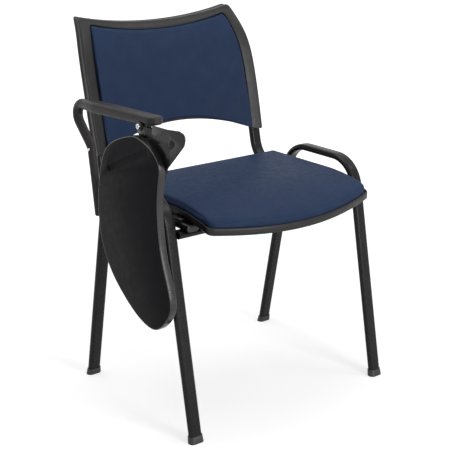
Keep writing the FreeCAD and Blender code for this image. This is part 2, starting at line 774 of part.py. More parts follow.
def pivot_bolt():
    """Round-headed bolt, turned about its own axis."""
    under = CARRIER_OUT_X - 0.1
    inner = HINGE_X + 9.5
    crown = under - 4.2
    r = PIVOT_D / 2.0
    head_r = 9.0

    def at(x, radius):
        return V(x, PIVOT_Y, PIVOT_Z + radius)

    dome = Part.Arc(at(crown, 0), at(crown + 1.15, head_r * 0.55), at(under, head_r))
    profile = Part.Wire([
        dome.toShape(),
        Part.LineSegment(at(under, head_r), at(under, r)).toShape(),
        Part.LineSegment(at(under, r), at(inner, r)).toShape(),
        Part.LineSegment(at(inner, r), at(inner, 0)).toShape(),
        Part.LineSegment(at(inner, 0), at(crown, 0)).toShape(),
    ])
    return Part.Face(profile).revolve(V(0, PIVOT_Y, PIVOT_Z), V(1, 0, 0), 360)


# ---------------------------------------------------------------- tablet

def tablet_plate():
    """Steel fan plate screwed to the tablet; it turns on the pivot bolt."""
    outline = rounded_polygon(yz(CARRIER_OUT_X, [
        (HINGE_REAR_Y - 1.5, 667.0),
        (-186.0, 668.0),
        (-226.0, 672.0),
        (-247.0, 667.0),
        (-241.0, 646.0),
        (-186.0, 592.0),
        (-165.0, 545.0),
        (-90.0, 545.0),
        (-90.0, 636.0),
        (-134.0, 640.0),
    ]), [2.0, 60.0, 14.0, 10.0, 12.0, 14.0, 10.0, 10.0, 8.0, 6.0])
    plate = prism(outline, V(PLATE_T, 0, 0))
    bore = cyl(V(-400, PIVOT_Y, PIVOT_Z), V(1, 0, 0), PIVOT_D / 2.0 + RUNNING_GAP, 200)
    return plate.cut(bore)


TABLET_OUTLINE = [
    (-104.0, 640.0), (-138.0, 631.0), (-166.0, 615.0), (-180.0, 597.0), (-178.0, 562.0),
    (-172.0, 515.0), (-174.0, 465.0), (-184.0, 410.0), (-206.0, 348.0), (-212.0, 312.0),
    (-190.0, 274.0), (-154.0, 249.0), (-113.0, 251.0), (-46.0, 284.0), (14.0, 337.0),
    (43.0, 393.0), (52.0, 462.0), (42.0, 535.0), (14.0, 594.0), (-42.0, 627.0),
    (-74.0, 637.0),
]


def tablet_wire(inset):
    """Closed smooth outline, moved inwards by the inset."""
    base = Part.BSplineCurve()
    base.interpolate(yz(TABLET_IN_X, TABLET_OUTLINE), PeriodicFlag=True)
    if not inset:
        return Part.Wire([base.toShape()])
    first = base.FirstParameter
    span = base.LastParameter - first
    count = 3 * len(TABLET_OUTLINE)
    points = []
    for i in range(count):
        at = first + span * i / count
        inward = base.tangent(at)[0].cross(V(-1, 0, 0))
        points.append(base.value(at) + inward * inset)
    curve = Part.BSplineCurve()
    curve.interpolate(points, PeriodicFlag=True)
    return Part.Wire([curve.toShape()])


def tablet_board():
    body = prism(tablet_wire(EDGE_BAND_T), V(-TABLET_T, 0, 0))
    centre_x = TABLET_OUT_X - GROOVE_R + GROOVE_DEPTH
    rear = V(centre_x, *GROOVE_REAR)
    front = V(centre_x, *GROOVE_FRONT)
    way = front - rear
    slot = cyl(rear, way, GROOVE_R, way.Length)
    slot = slot.fuse(Part.makeSphere(GROOVE_R, rear)).fuse(Part.makeSphere(GROOVE_R, front))
    return body.cut(slot)


def tablet_edge_band():
    outer = prism(tablet_wire(0), V(-TABLET_T, 0, 0))
    return outer.cut(prism(tablet_wire(EDGE_BAND_T), V(-TABLET_T, 0, 0)))


TABLET_SCREWS = [(-152.0, 562.0), (-104.0, 562.0), (-104.0, 622.0), (-165.0, 596.0)]


def tablet_screw(y, z):
    head = Part.makeCone(2.0, 4.0, 2.0, V(CARRIER_IN_X - 2.0, y, z), V(1, 0, 0))
    shank = cyl(V(CARRIER_IN_X - 2.0, y, z), V(-1, 0, 0), 2.0, 11.0)
    return head.fuse(shank)


# ---------------------------------------------------------------- assembly

def build():
    nodes = {}
    bolts = arm_bolt_holes(ARM_BOLT_D / 2.0)
    holes = arm_bolt_holes(ARM_BOLT_D / 2.0 + BOLT_FIT)
    nodes["side_frame_left"] = side_frame(FRAME_X)
    nodes["side_frame_right"] = side_frame(-FRAME_X).cut(holes)
    for front, end in ((True, "front"), (False, "rear")):
        nodes[end + "_cross_tube"] = cross_tube(front)
        nodes["foot_cap_" + end + "_left"] = foot_cap(FRAME_X, front)
        nodes["foot_cap_" + end + "_right"] = foot_cap(-FRAME_X, front)

    screws = {}
    for side, name in ((1, "left"), (-1, "right")):
        cuts = [back_screw(side, z, False) for z in BACK_SCREW_Z]
        tube = back_upright(side)
        for cut in cuts:
            tube = tube.cut(cut)
        nodes["back_upright_" + name] = tube
        screws[name] = [back_screw(side, z, True) for z in BACK_SCREW_Z]
    nodes["back_screws"] = Part.makeCompound(screws["left"] + screws["right"])

    seat_cuts = [seat_screw_shank(s, y) for s in (-1, 1) for y in CLIP_Y]
    nodes["seat_shell"] = seat_shell()
    nodes["seat_board"] = seat_board()
    for cut in seat_cuts:
        nodes["seat_shell"] = nodes["seat_shell"].cut(cut)
        nodes["seat_board"] = nodes["seat_board"].cut(cut)
    nodes["seat_cushion"] = seat_cushion()
    nodes["seat_clips"] = seat_clips()
    nodes["seat_screws"] = seat_screws()

    face = back_face()
    sockets = [back_upright(1, UPRIGHT_FIT), back_upright(-1, UPRIGHT_FIT)]
    fitted = list(sockets)
    fitted += [back_screw(s, z, False) for s in (1, -1) for z in BACK_SCREW_Z]
    nodes["back_shell"] = back_shell(face, fitted)
    board_near = BACK_RECESS - BACK_BOARD_T
    nodes["back_board"] = back_pad(face, board_near, BACK_RECESS)
    for socket in sockets:
        nodes["back_board"] = nodes["back_board"].cut(socket)
    nodes["back_cushion"] = back_pad(face, board_near - BACK_FOAM_T, board_near)

    core = arm_core()
    lug_bolt = cyl(V(-400, BRACKET_BOLT_Y, BRACKET_BOLT_Z), V(1, 0, 0), BRACKET_BOLT_D / 2.0 + 0.2, 200)
    nodes["arm_cover"] = arm_cover().cut(core).cut(holes).cut(arm_spacers()).cut(arm_screw())
    nodes["arm_core"] = core.cut(bolts).cut(lug_bolt).cut(arm_screw())
    nodes["arm_screw"] = arm_screw()
    nodes["arm_spacers"] = arm_spacers()
    nodes["arm_bolts"] = arm_bolts()

    nodes["hinge_bracket"] = hinge_bracket()
    nodes["bracket_bolt"] = bracket_bolt()
    nodes["bracket_washer"] = ring(BRACKET_OUT_X - 1.5, 1.5, BRACKET_BOLT_Y, BRACKET_BOLT_Z,
                                   9.0, BRACKET_BOLT_D / 2.0 + 0.2)
    nodes["bracket_nut"] = hex_nut(LUG_X + LUG_T, 5.0, BRACKET_BOLT_Y, BRACKET_BOLT_Z, 10.0,
                                   BRACKET_BOLT_D / 2.0)
    nodes["hinge_pin"] = hinge_pin()
    nodes["hinge_leaf"] = hinge_leaf()
    nodes["pivot_bolt"] = pivot_bolt()
    nodes["friction_washer"] = ring(CARRIER_IN_X + 0.1, PLATE_T - 0.1, PIVOT_Y, PIVOT_Z,
                                    11.0, PIVOT_D / 2.0)
    nodes["pivot_washer"] = ring(HINGE_X, 1.2, PIVOT_Y, PIVOT_Z, 8.0, PIVOT_D / 2.0)
    nodes["pivot_nut"] = hex_nut(HINGE_X + 1.2, 6.5, PIVOT_Y, PIVOT_Z, 13.0, PIVOT_D / 2.0)

    nodes["tablet_plate"] = tablet_plate()
    nodes["tablet_board"] = tablet_board()
    nodes["tablet_edge_band"] = tablet_edge_band()
    screws = [tablet_screw(y, z) for y, z in TABLET_SCREWS]
    for cut in screws:
        nodes["tablet_plate"] = nodes["tablet_plate"].cut(cut)
        nodes["tablet_board"] = nodes["tablet_board"].cut(cut)
    nodes["tablet_screws"] = Part.makeCompound(screws)
    return nodes


def main():
    os.makedirs("parts", exist_ok=True)
    nodes = build()
    box = Part.makeCompound(list(nodes.values())).optimalBoundingBox(True, False)
    shift = V(-(box.XMin + box.XMax) / 2.0, -(box.YMin + box.YMax) / 2.0, 0)
    print("shift", round(shift.x, 4), round(shift.y, 4), "size", box.XLength, box.YLength, box.ZMax)
    for name, shape in nodes.items():
        moved = shape.copy()
        moved.translate(shift)
        count = len(moved.Solids)
        print(name, count, round(moved.Volume), moved.isValid())
        moved.exportStep("parts/" + name + ".step")


main()
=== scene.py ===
import bmesh
import bpy
import json
import math
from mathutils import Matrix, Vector


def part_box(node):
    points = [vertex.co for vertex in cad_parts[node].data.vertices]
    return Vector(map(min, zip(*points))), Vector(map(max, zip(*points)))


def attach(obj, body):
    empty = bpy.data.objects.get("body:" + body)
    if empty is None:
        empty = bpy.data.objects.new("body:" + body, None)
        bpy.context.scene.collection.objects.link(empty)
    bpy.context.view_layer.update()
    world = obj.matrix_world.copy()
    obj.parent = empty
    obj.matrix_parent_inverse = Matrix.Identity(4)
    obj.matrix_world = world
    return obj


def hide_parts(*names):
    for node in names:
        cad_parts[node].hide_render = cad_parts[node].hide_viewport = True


# Student desk chair. Shapes are written in millimetres in the frame they were designed in
# (origin on the floor midway between the side frames) and moved into the row frame by at().

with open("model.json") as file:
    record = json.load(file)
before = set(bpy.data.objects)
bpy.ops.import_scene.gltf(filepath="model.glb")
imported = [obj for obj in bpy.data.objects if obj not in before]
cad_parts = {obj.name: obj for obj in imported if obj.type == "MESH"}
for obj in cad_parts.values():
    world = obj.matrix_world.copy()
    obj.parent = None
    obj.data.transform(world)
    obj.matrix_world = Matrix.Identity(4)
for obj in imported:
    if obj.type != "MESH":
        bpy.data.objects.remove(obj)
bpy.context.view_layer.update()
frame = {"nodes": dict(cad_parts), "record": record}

MM = 0.001
FRAME_X = 261.5
PIVOT_Y = -200.0


def middle(node):
    low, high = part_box(node)
    return (low + high) / 2


SHIFT = Vector((middle("side_frame_left").x - FRAME_X * MM,
                middle("pivot_nut").y - PIVOT_Y * MM, 0))


def at(x, y, z):
    return Vector((x * MM, y * MM, z * MM)) + SHIFT


# ---------------------------------------------------------------- camera

AZIMUTH = math.radians(-37.47)
ELEVATION = math.radians(18.10)
DISTANCE = 2.4142
TARGET = at(-23.4, -0.7, 374.7)


def add_camera():
    data = bpy.data.cameras.new("camera")
    data.sensor_width = 36.0
    data.lens = 85.52
    data.clip_end = 200
    camera = bpy.data.objects.new("camera", data)
    bpy.context.scene.collection.objects.link(camera)
    back = Vector((math.sin(AZIMUTH) * math.cos(ELEVATION),
                   -math.cos(AZIMUTH) * math.cos(ELEVATION), math.sin(ELEVATION)))
    camera.location = TARGET + back * DISTANCE
    camera.rotation_euler = back.to_track_quat("Z", "Y").to_euler()
    bpy.context.scene.camera = camera


add_camera()

# ---------------------------------------------------------------- materials


class Shader:
    """A Principled material and short ways to add nodes to it."""

    def __init__(self, name, rough, **values):
        self.material = bpy.data.materials.new(name)
        self.material.use_nodes = True
        self.tree = self.material.node_tree
        self.main = self.tree.nodes["Principled BSDF"]
        self.main.inputs["Roughness"].default_value = rough
        for key, value in values.items():
            self.main.inputs[key.replace("_", " ")].default_value = value
        self.coords = self.node("ShaderNodeTexCoord").outputs["Object"]
        self.normal = None

    def node(self, kind, links=None, **props):
        made = self.tree.nodes.new(kind)
        for key, value in props.items():
            setattr(made, key, value)
        for key, value in (links or {}).items():
            if isinstance(value, bpy.types.NodeSocket):
                self.tree.links.new(value, made.inputs[key])
            else:
                made.inputs[key].default_value = value
        return made

    def stretched(self, scale):
        return self.node("ShaderNodeMapping", {"Vector": self.coords, "Scale": scale}).outputs[0]

    def noise(self, scale, detail=3.0, rough=0.55, coords=None):
        links = {"Vector": coords or self.coords, "Scale": scale, "Detail": detail, "Roughness": rough}
        return self.node("ShaderNodeTexNoise", links).outputs["Fac"]

    def cells(self, scale, feature="F1"):
        links = {"Vector": self.coords, "Scale": scale}
        return self.node("ShaderNodeTexVoronoi", links, feature=feature).outputs["Distance"]

    def ramp(self, value, low, high, dark, light):
        links = {"Value": value, "From Min": low, "From Max": high, "To Min": dark, "To Max": light}
        return self.node("ShaderNodeMapRange", links).outputs[0]

    def colour(self, value, stops):
        made = self.node("ShaderNodeValToRGB", {"Fac": value})
        ramp = made.color_ramp
        for i, (place, rgb) in enumerate(stops):
            stop = ramp.elements[i] if i < 2 else ramp.elements.new(place)
            stop.position = place
            stop.color = (*rgb, 1)
        self.tree.links.new(made.outputs["Color"], self.main.inputs["Base Color"])

    def rough(self, value, low, high):
        self.tree.links.new(self.ramp(value, 0.3, 0.7, low, high), self.main.inputs["Roughness"])

    def bump(self, height, strength, distance):
        links = {"Height": height, "Strength": strength, "Distance": distance}
        if self.normal is not None:
            links["Normal"] = self.normal
        self.normal = self.node("ShaderNodeBump", links).outputs[0]
        self.tree.links.new(self.normal, self.main.inputs["Normal"])


def grey(value, tint=1.0):
    return (value, value, value * tint)


def make_materials():
    made = {}

    s = Shader("frame_paint", 0.36, Specular_IOR_Level=0.18)
    s.colour(s.noise(45), [(0.3, grey(0.008, 1.06)), (0.7, grey(0.012, 1.06))])
    s.rough(s.noise(160), 0.24, 0.32)
    s.bump(s.noise(1400, 2), 0.05, 0.0002)
    s.bump(s.noise(260, 2), 0.06, 0.0003)
    made["frame_paint"] = s.material

    s = Shader("shell_plastic", 0.42, Specular_IOR_Level=0.30)
    s.colour(s.noise(35), [(0.3, grey(0.006)), (0.7, grey(0.010))])
    s.rough(s.noise(120), 0.34, 0.46)
    s.bump(s.cells(900), 0.30, 0.0003)
    s.bump(s.noise(500, 3), 0.15, 0.0004)
    made["shell_plastic"] = s.material

    s = Shader("foot_plastic", 0.45)
    s.colour(s.noise(60), [(0.3, grey(0.013)), (0.7, grey(0.022))])
    s.rough(s.noise(150), 0.38, 0.55)
    s.bump(s.noise(700, 3), 0.2, 0.0004)
    made["foot_plastic"] = s.material

    s = Shader("vinyl", 0.5, Specular_IOR_Level=0.05)
    s.colour(s.noise(28, 4), [(0.25, (0.0180, 0.0320, 0.0700)), (0.75, (0.0230, 0.0390, 0.0820))])
    s.rough(s.noise(90, 4), 0.45, 0.58)
    s.bump(s.cells(620, "SMOOTH_F1"), 0.35, 0.0005)
    s.bump(s.noise(1500, 2), 0.20, 0.0002)
    s.bump(s.noise(16, 2, coords=s.stretched((1.0, 1.0, 0.35))), 0.10, 0.006)
    made["vinyl"] = s.material

    s = Shader("pad_board", 0.7)
    s.colour(s.noise(30, 6, coords=s.stretched((1, 9, 1))),
             [(0.2, (0.30, 0.20, 0.11)), (0.8, (0.50, 0.37, 0.23))])
    s.bump(s.noise(300, 4, coords=s.stretched((1, 9, 1))), 0.3, 0.0005)
    made["pad_board"] = s.material

    s = Shader("arm_plastic", 0.36, Specular_IOR_Level=0.14)
    s.colour(s.noise(40), [(0.3, (0.0290, 0.0260, 0.0282)), (0.7, (0.0360, 0.0326, 0.0352))])
    s.rough(s.noise(110), 0.33, 0.43)
    s.bump(s.cells(1100), 0.16, 0.0003)
    s.bump(s.noise(90, 2), 0.08, 0.0010)
    made["arm_plastic"] = s.material

    s = Shader("zinc_steel", 0.3, Metallic=1.0)
    s.colour(s.noise(220, 4), [(0.25, (0.52, 0.53, 0.55)), (0.75, (0.70, 0.70, 0.71))])
    s.rough(s.noise(500), 0.22, 0.38)
    s.bump(s.noise(900, 3), 0.15, 0.0002)
    made["zinc_steel"] = s.material

    s = Shader("black_steel", 0.26, Specular_IOR_Level=0.25)
    s.colour(s.noise(50), [(0.3, grey(0.007, 1.05)), (0.7, grey(0.010, 1.05))])
    s.rough(s.noise(140), 0.20, 0.30)
    s.bump(s.noise(320, 2), 0.12, 0.0005)
    made["black_steel"] = s.material

    s = Shader("tablet_laminate", 0.5, Specular_IOR_Level=0.04)
    s.colour(s.noise(24, 4), [(0.3, (0.0100, 0.0088, 0.0107)), (0.7, (0.0135, 0.0120, 0.0143))])
    s.rough(s.noise(60, 3), 0.46, 0.56)
    s.bump(s.noise(1200, 2), 0.18, 0.0003)
    made["tablet_laminate"] = s.material

    s = Shader("tablet_edge", 0.27, Specular_IOR_Level=0.5)
    s.colour(s.noise(60), [(0.3, grey(0.009, 1.05)), (0.7, grey(0.013, 1.05))])
    s.rough(s.noise(150), 0.20, 0.27)
    s.bump(s.noise(180, 2), 0.05, 0.0003)
    made["tablet_edge"] = s.material

    s = Shader("bush_plastic", 0.4)
    s.colour(s.noise(120), [(0.3, grey(0.055)), (0.7, grey(0.080))])
    s.rough(s.noise(200), 0.35, 0.5)
    s.bump(s.noise(800, 2), 0.2, 0.0003)
    made["bush_plastic"] = s.material
    return made


MATERIALS = make_materials()
SLOT_OF = {p["node"]: p["material_slot"] for p in frame["record"]["subparts"]}
BODY_OF = {n: b for b, nodes in frame["record"]["behaviour"]["bodies"].items() for n in nodes}

# ---------------------------------------------------------------- mesh helpers

MESH_WELD = 1e-6
CAD_WELD = 2e-6
EASE_SHARP = 35.0        # degrees between faces, over which an edge of a CAD node is broken
EASE_FLAT = 0.4          # degrees, under which two CAD facets are joined first
EASE_SEGMENTS = 2


def welded(mesh, distance):
    shape = bmesh.new()
    shape.from_mesh(mesh)
    bmesh.ops.remove_doubles(shape, verts=shape.verts, dist=distance)
    return shape


def closed_mesh(name, verts, faces):
    mesh = bpy.data.meshes.new(name)
    mesh.from_pydata(verts, [], faces)
    shape = welded(mesh, MESH_WELD)
    bmesh.ops.recalc_face_normals(shape, faces=shape.faces)
    shape.to_mesh(mesh)
    shape.free()
    return mesh


def add_piece(name, verts, faces, slot, body, stands_for, sharp):
    return place(name, closed_mesh(name, verts, faces), slot, body, stands_for, sharp)


def place(name, mesh, slot, body, stands_for, sharp):
    mesh.materials.clear()
    mesh.materials.append(MATERIALS[slot])
    mesh.shade_smooth()
    mesh.set_sharp_from_angle(angle=math.radians(sharp))
    piece = bpy.data.objects.new(name, mesh)
    bpy.context.scene.collection.objects.link(piece)
    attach(piece, body)
    if stands_for:
        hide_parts(*stands_for)
    return piece


def apply_modifiers(piece):
    graph = bpy.context.evaluated_depsgraph_get()
    mesh = bpy.data.meshes.new_from_object(piece.evaluated_get(graph))
    piece.modifiers.clear()
    piece.data = mesh


def eased(node, width):
    """A copy of a CAD node with its sharp edges broken, which is shown in its place."""
    mesh = frame["nodes"][node].data.copy()
    for layer in [a.name for a in mesh.attributes if a.name == "custom_normal"]:
        mesh.attributes.remove(mesh.attributes[layer])
    shape = welded(mesh, CAD_WELD)
    bmesh.ops.dissolve_limit(shape, angle_limit=math.radians(EASE_FLAT),
                             verts=shape.verts, edges=shape.edges)
    shape.to_mesh(mesh)
    shape.free()
    piece = place(node + "_eased", mesh, SLOT_OF[node], BODY_OF[node], (node,), EASE_SHARP)
    if width:
        bevel = piece.modifiers.new("bevel", "BEVEL")
        bevel.width = width * MM
        bevel.segments = EASE_SEGMENTS
        bevel.limit_method = "ANGLE"
        bevel.angle_limit = math.radians(EASE_SHARP)
        apply_modifiers(piece)
        piece.data.shade_smooth()
        piece.data.set_sharp_from_angle(angle=math.radians(EASE_SHARP + 5))
    return piece


def ring_faces(rings, around, closed=False):
    """Quads between rings of points; closed also joins the last ring to the first."""
    faces = []
    for i in range(rings if closed else rings - 1):
        j = (i + 1) % rings
        for k in range(around):
            m = (k + 1) % around
            faces.append((i * around + k, i * around + m, j * around + m, j * around + k))
    return faces


def end_faces(rings, around):
    last = (rings - 1) * around
    return [tuple(range(around)), tuple(range(last, last + around))]


def swelling(a, b):
    """Share of a pad's crown at a point of the square: one in the middle, none at the edge."""
    full = max(0.0, 1 - a * a) * max(0.0, 1 - b * b)
    return full ** 0.6


def rounded(a, b, w, h, r):
    """Carries a point of the square -1..1 into a rectangle of half sizes w, h with corners of radius r."""
    level = max(abs(a), abs(b))
    x, y = a * w, b * h
    cx, cy = level * (w - r), level * (h - r)
    dx, dy = abs(x) - cx, abs(y) - cy
    if dx > 1e-9 and dy > 1e-9:
        k = max(dx / r, dy / r) * r / math.hypot(dx, dy)
        x = math.copysign(cx + dx * k, x)
        y = math.copysign(cy + dy * k, y)
    return x, y


def spread(count):
    """Grid lines from -1 to 1, closer together near the ends."""
    lines = []
    for i in range(count + 1):
        t = -1.0 + 2.0 * i / count
        lines.append(0.55 * t + 0.45 * math.sin(t * math.pi / 2))
    return lines


FIXED, FREE = 0, 1       # tags of a panel's points; cloth moves the free ones


class Panel:
    """Closed shell of a four-sided panel: a grid, rings that run round its edge, and a second grid."""

    def __init__(self, columns, rows, point):
        self.a = spread(columns)
        self.b = spread(rows)
        self.point = point
        self.verts = []
        self.faces = []
        self.tags = []

    def loop(self):
        n, m = len(self.a), len(self.b)
        loop = [(i, 0) for i in range(n - 1)] + [(n - 1, j) for j in range(m - 1)]
        loop += [(i, m - 1) for i in range(n - 1, 0, -1)] + [(0, j) for j in range(m - 1, 0, -1)]
        return loop

    def cap(self, tag, **shape):
        """A grid of points with a tag; gives back the points of its edge."""
        first = len(self.verts)
        n, m = len(self.a), len(self.b)
        for j in range(m):
            for i in range(n):
                self.verts.append(self.point(self.a[i], self.b[j], **shape))
                self.tags.append(tag)
        for j in range(m - 1):
            for i in range(n - 1):
                k = first + j * n + i
                self.faces.append((k, k + 1, k + n + 1, k + n))
        return [first + j * n + i for i, j in self.loop()]

    def ring(self, previous, tag, **shape):
        """Points round the edge, joined to the ring before."""
        first = len(self.verts)
        for i, j in self.loop():
            self.verts.append(self.point(self.a[i], self.b[j], **shape))
            self.tags.append(tag)
        ring = list(range(first, len(self.verts)))
        self.join(previous, ring)
        return ring

    def join(self, one, two):
        count = len(one)
        for i in range(count):
            k = (i + 1) % count
            self.faces.append((one[i], one[k], two[k], two[i]))


# ---------------------------------------------------------------- the back's surface

BACK_LOW_Z = 526.0
BACK_ARCH = 47.0
BACK_TOP_Z = 825.0
BACK_DIP = 24.0
BACK_HALF_W = 237.0
BACK_SAG = 28.0
BACK_PROFILE = [(176, 500), (199, 600), (219, 685), (238, 745), (261, 790), (300, 842)]
BACK_EDGE = [(236, 526), (237, 640), (232, 745), (212, 825), (206, 842)]


def through(points, z):
    """Smooth curve through (value, z) points, by local cubics."""
    count = len(points)
    k = 0
    while k < count - 2 and z > points[k + 1][1]:
        k += 1
    v0, z0 = points[k]
    v1, z1 = points[k + 1]

    def slope(i):
        low, high = max(i - 1, 0), min(i + 1, count - 1)
        return (points[high][0] - points[low][0]) / (points[high][1] - points[low][1])

    h = z1 - z0
    t = (z - z0) / h
    s0, s1 = slope(k) * h, slope(k + 1) * h
    return ((2 * t**3 - 3 * t**2 + 1) * v0 + (t**3 - 2 * t**2 + t) * s0
            + (3 * t**2 - 2 * t**3) * v1 + (t**3 - t**2) * s1)


def back_y(x, z):
    return through(BACK_PROFILE, z) + BACK_SAG * (1 - (x / BACK_HALF_W) ** 2)


def back_point(a, b, side, top, low, r, d, swell=0.0):
    """Point at depth d behind the front surface, on the outline moved in by side, top and low."""
    w = BACK_HALF_W - side
    h = (BACK_TOP_Z - BACK_LOW_Z - top - low) / 2
    x, v = rounded(a, b, w, h, r)
    u, t = x / w, (v + h) / (2 * h)
    arch = 1 - u * u
    foot = BACK_LOW_Z + low + BACK_ARCH * arch
    head = BACK_TOP_Z - top - BACK_DIP * arch
    z = foot + (head - foot) * t
    x = u * (through(BACK_EDGE, z) - side)
    return at(x, back_y(x, z) + d - swell * swelling(a, b), z)


# ---------------------------------------------------------------- the seat's surface

SEAT_HALF_W = 222.0
SEAT_CORNER_Y = -206.0
SEAT_BULGE = 42.0
SEAT_REAR_Y = 123.0
SEAT_RIM_Z = 476.0
SEAT_FALL_START_Y = -80.0
SEAT_FALL = 0.00112


def seat_z(y):
    return SEAT_RIM_Z - SEAT_FALL * max(0.0, SEAT_FALL_START_Y - y) ** 2


def seat_point(a, b, inset, r, h, swell=0.0):
    """Point at height h over the rim, on the outline moved in by inset; b = -1 is the front."""
    w = SEAT_HALF_W - inset
    half = (SEAT_REAR_Y - SEAT_CORNER_Y) / 2 - inset
    x, v = rounded(a, b, w, half, r)
    u, t = x / w, (v + half) / (2 * half)
    front = SEAT_CORNER_Y + inset - SEAT_BULGE * (1 - u * u)
    y = front + (SEAT_REAR_Y - inset - front) * t
    return at(x, y, seat_z(y) + h + swell * swelling(a, b))


# ---------------------------------------------------------------- shells

BACK_GRID = (60, 44)
SEAT_GRID = (56, 44)
BACK_BORDER = {"side": 28, "top": 17, "low": 6}      # from the outline to the tray's edge
BACK_TRAY = (0, 9, 6)
# Rings round the tray: distance out from its edge, corner radius, depth
BACK_TRAY_RINGS = ((0, 9, 1.0), (0.3, 9, 0.3), (1.2, 9.5, 0.0), (10, 10, -0.4), (20, 9, -0.2))
# Rings over the rim and round the groove to the rear: inset from the outline, corner radius, depth
BACK_RIM_RINGS = ((3.2, 8, 0), (1.9, 7.6, 0.25), (0.8, 7.3, 0.9), (0.2, 7, 2.0), (0, 7, 3.4),
                  (0, 7, 9.0), (0.3, 7, 9.8), (1.1, 7, 10.2), (1.3, 7, 11.0), (1.3, 7, 18.0),
                  (1.0, 7, 18.7), (0.2, 7, 19.2), (0, 7, 20.0), (0, 7, 24.0), (0.5, 7, 25.3),
                  (1.6, 6, 26.0), (3.0, 6, 26.0), (4.0, 5, 25.2), (4.3, 5, 12.5), (5.0, 5, 10.6),
                  (7.0, 5, 10.0))
BACK_REAR = (7.2, 5, 10.0)
SEAT_TRAY = {"inset": 3.0, "r": 8, "h": -4}
# Rings of the seat's rim, from the tray to the underside: inset, corner radius, height
SEAT_RIM_RINGS = ((3.0, 8, -1.0), (2.8, 8, -0.2), (2.3, 8.3, 0.2), (1.5, 9, 0.2),
                  (0.8, 9.4, -0.2), (0.25, 9.8, -1.1), (0, 10, -2.4), (0, 10, -11.5),
                  (0.3, 9.8, -13.6), (1.2, 9.2, -15), (2.4, 8.4, -15), (3.0, 8, -14.4),
                  (3.0, 8, -9.0), (3.8, 7.5, -8.0), (6.0, 7, -8.0))
SEAT_UNDERSIDE = {"inset": 6.2, "r": 7, "h": -8}


def back_shell():
    panel = Panel(*BACK_GRID, back_point)

    def inner(out, r, d):
        return {"side": BACK_BORDER["side"] - out, "top": BACK_BORDER["top"] - out * 0.6,
                "low": BACK_BORDER["low"] - out * 0.3, "r": r, "d": d}

    def outer(inset, r, d):
        return {"side": inset, "top": inset, "low": inset, "r": r, "d": d}

    ring = panel.cap(FIXED, **inner(*BACK_TRAY))
    for out, r, d in BACK_TRAY_RINGS:
        ring = panel.ring(ring, FIXED, **inner(out, r, d))
    for inset, r, d in BACK_RIM_RINGS:
        ring = panel.ring(ring, FIXED, **outer(inset, r, d))
    rear = panel.cap(FIXED, **outer(*BACK_REAR))
    panel.join(ring, rear)
    return add_piece("back_shell_moulding", panel.verts, panel.faces, "shell_plastic", "chair",
                     ("back_shell",), sharp=50)


def seat_shell():
    panel = Panel(*SEAT_GRID, seat_point)
    ring = panel.cap(FIXED, **SEAT_TRAY)
    for inset, r, h in SEAT_RIM_RINGS:
        ring = panel.ring(ring, FIXED, inset=inset, r=r, h=h)
    base = panel.cap(FIXED, **SEAT_UNDERSIDE)
    panel.join(ring, base)
    return add_piece("seat_shell_moulding", panel.verts, panel.faces, "shell_plastic", "chair",
                     ("seat_shell",), sharp=50)


RAIL_TOP = 453.0
RAIL_Z = 445.5
RAIL_X = 220.0
RAIL_END_Y = -150.0
SKIRT_FRONT_Y = -146.0
SKIRT_REAR_Y = 118.0
SKIRT_IN = 212.0         # the wall's faces, from the middle of the seat
SKIRT_OUT = 218.6
SKIRT_TOP = 9.0          # how far under the rim's top the walls end
SKIRT_GAP = 0.3
SKIRT_ROWS = 24
PLUG_SIDES = 32
# Each ring of a plug: distance behind the rail's end, half width, half height
PLUG_RINGS = ((4.0, 13.4, 5.9), (0.0, 13.4, 5.9), (0.0, 14.8, 7.3), (-1.2, 14.8, 7.3),
              (-2.0, 13.8, 6.3), (-2.2, 8.0, 3.0))


def seat_skirts():
    """Low walls of the shell that close the space above each rail."""
    low = RAIL_TOP + SKIRT_GAP
    for side, name in ((-1, "right"), (1, "left")):
        verts = []
        for i in range(SKIRT_ROWS + 1):
            y = SKIRT_FRONT_Y + (SKIRT_REAR_Y - SKIRT_FRONT_Y) * i / SKIRT_ROWS
            top = seat_z(y) - SKIRT_TOP
            for x, z in ((SKIRT_IN, low), (SKIRT_OUT, low), (SKIRT_OUT, top), (SKIRT_IN, top)):
                verts.append(at(side * x, y, z))
        faces = ring_faces(SKIRT_ROWS + 1, 4) + end_faces(SKIRT_ROWS + 1, 4)
        add_piece("seat_skirt_" + name, verts, faces, "shell_plastic", "chair", (), sharp=30)


def rail_plugs():
    """Plastic plugs in the open front ends of the two rails."""
    rings = len(PLUG_RINGS)
    faces = ring_faces(rings, PLUG_SIDES) + end_faces(rings, PLUG_SIDES)
    for side, name in ((-1, "right"), (1, "left")):
        verts = []
        for depth, half_w, half_h in PLUG_RINGS:
            for k in range(PLUG_SIDES):
                angle = 2 * math.pi * k / PLUG_SIDES
                across = (half_w - half_h) * math.copysign(1, math.cos(angle)) + half_h * math.cos(angle)
                verts.append(at(side * RAIL_X + across, RAIL_END_Y + depth,
                                RAIL_Z + half_h * math.sin(angle)))
        add_piece("rail_plug_" + name, verts, faces, "foot_plastic", "chair", (), sharp=40)


# ---------------------------------------------------------------- cushions

CLOTH_FRAMES = 22
MOST_MOVED = 3.0 * MM
COVER_GRID = (64, 50)
ROLL_STEPS = 7
SEAT_COVER_INSET = 4.2
COVER_GAP = 1.2          # between the back's tray and its cover


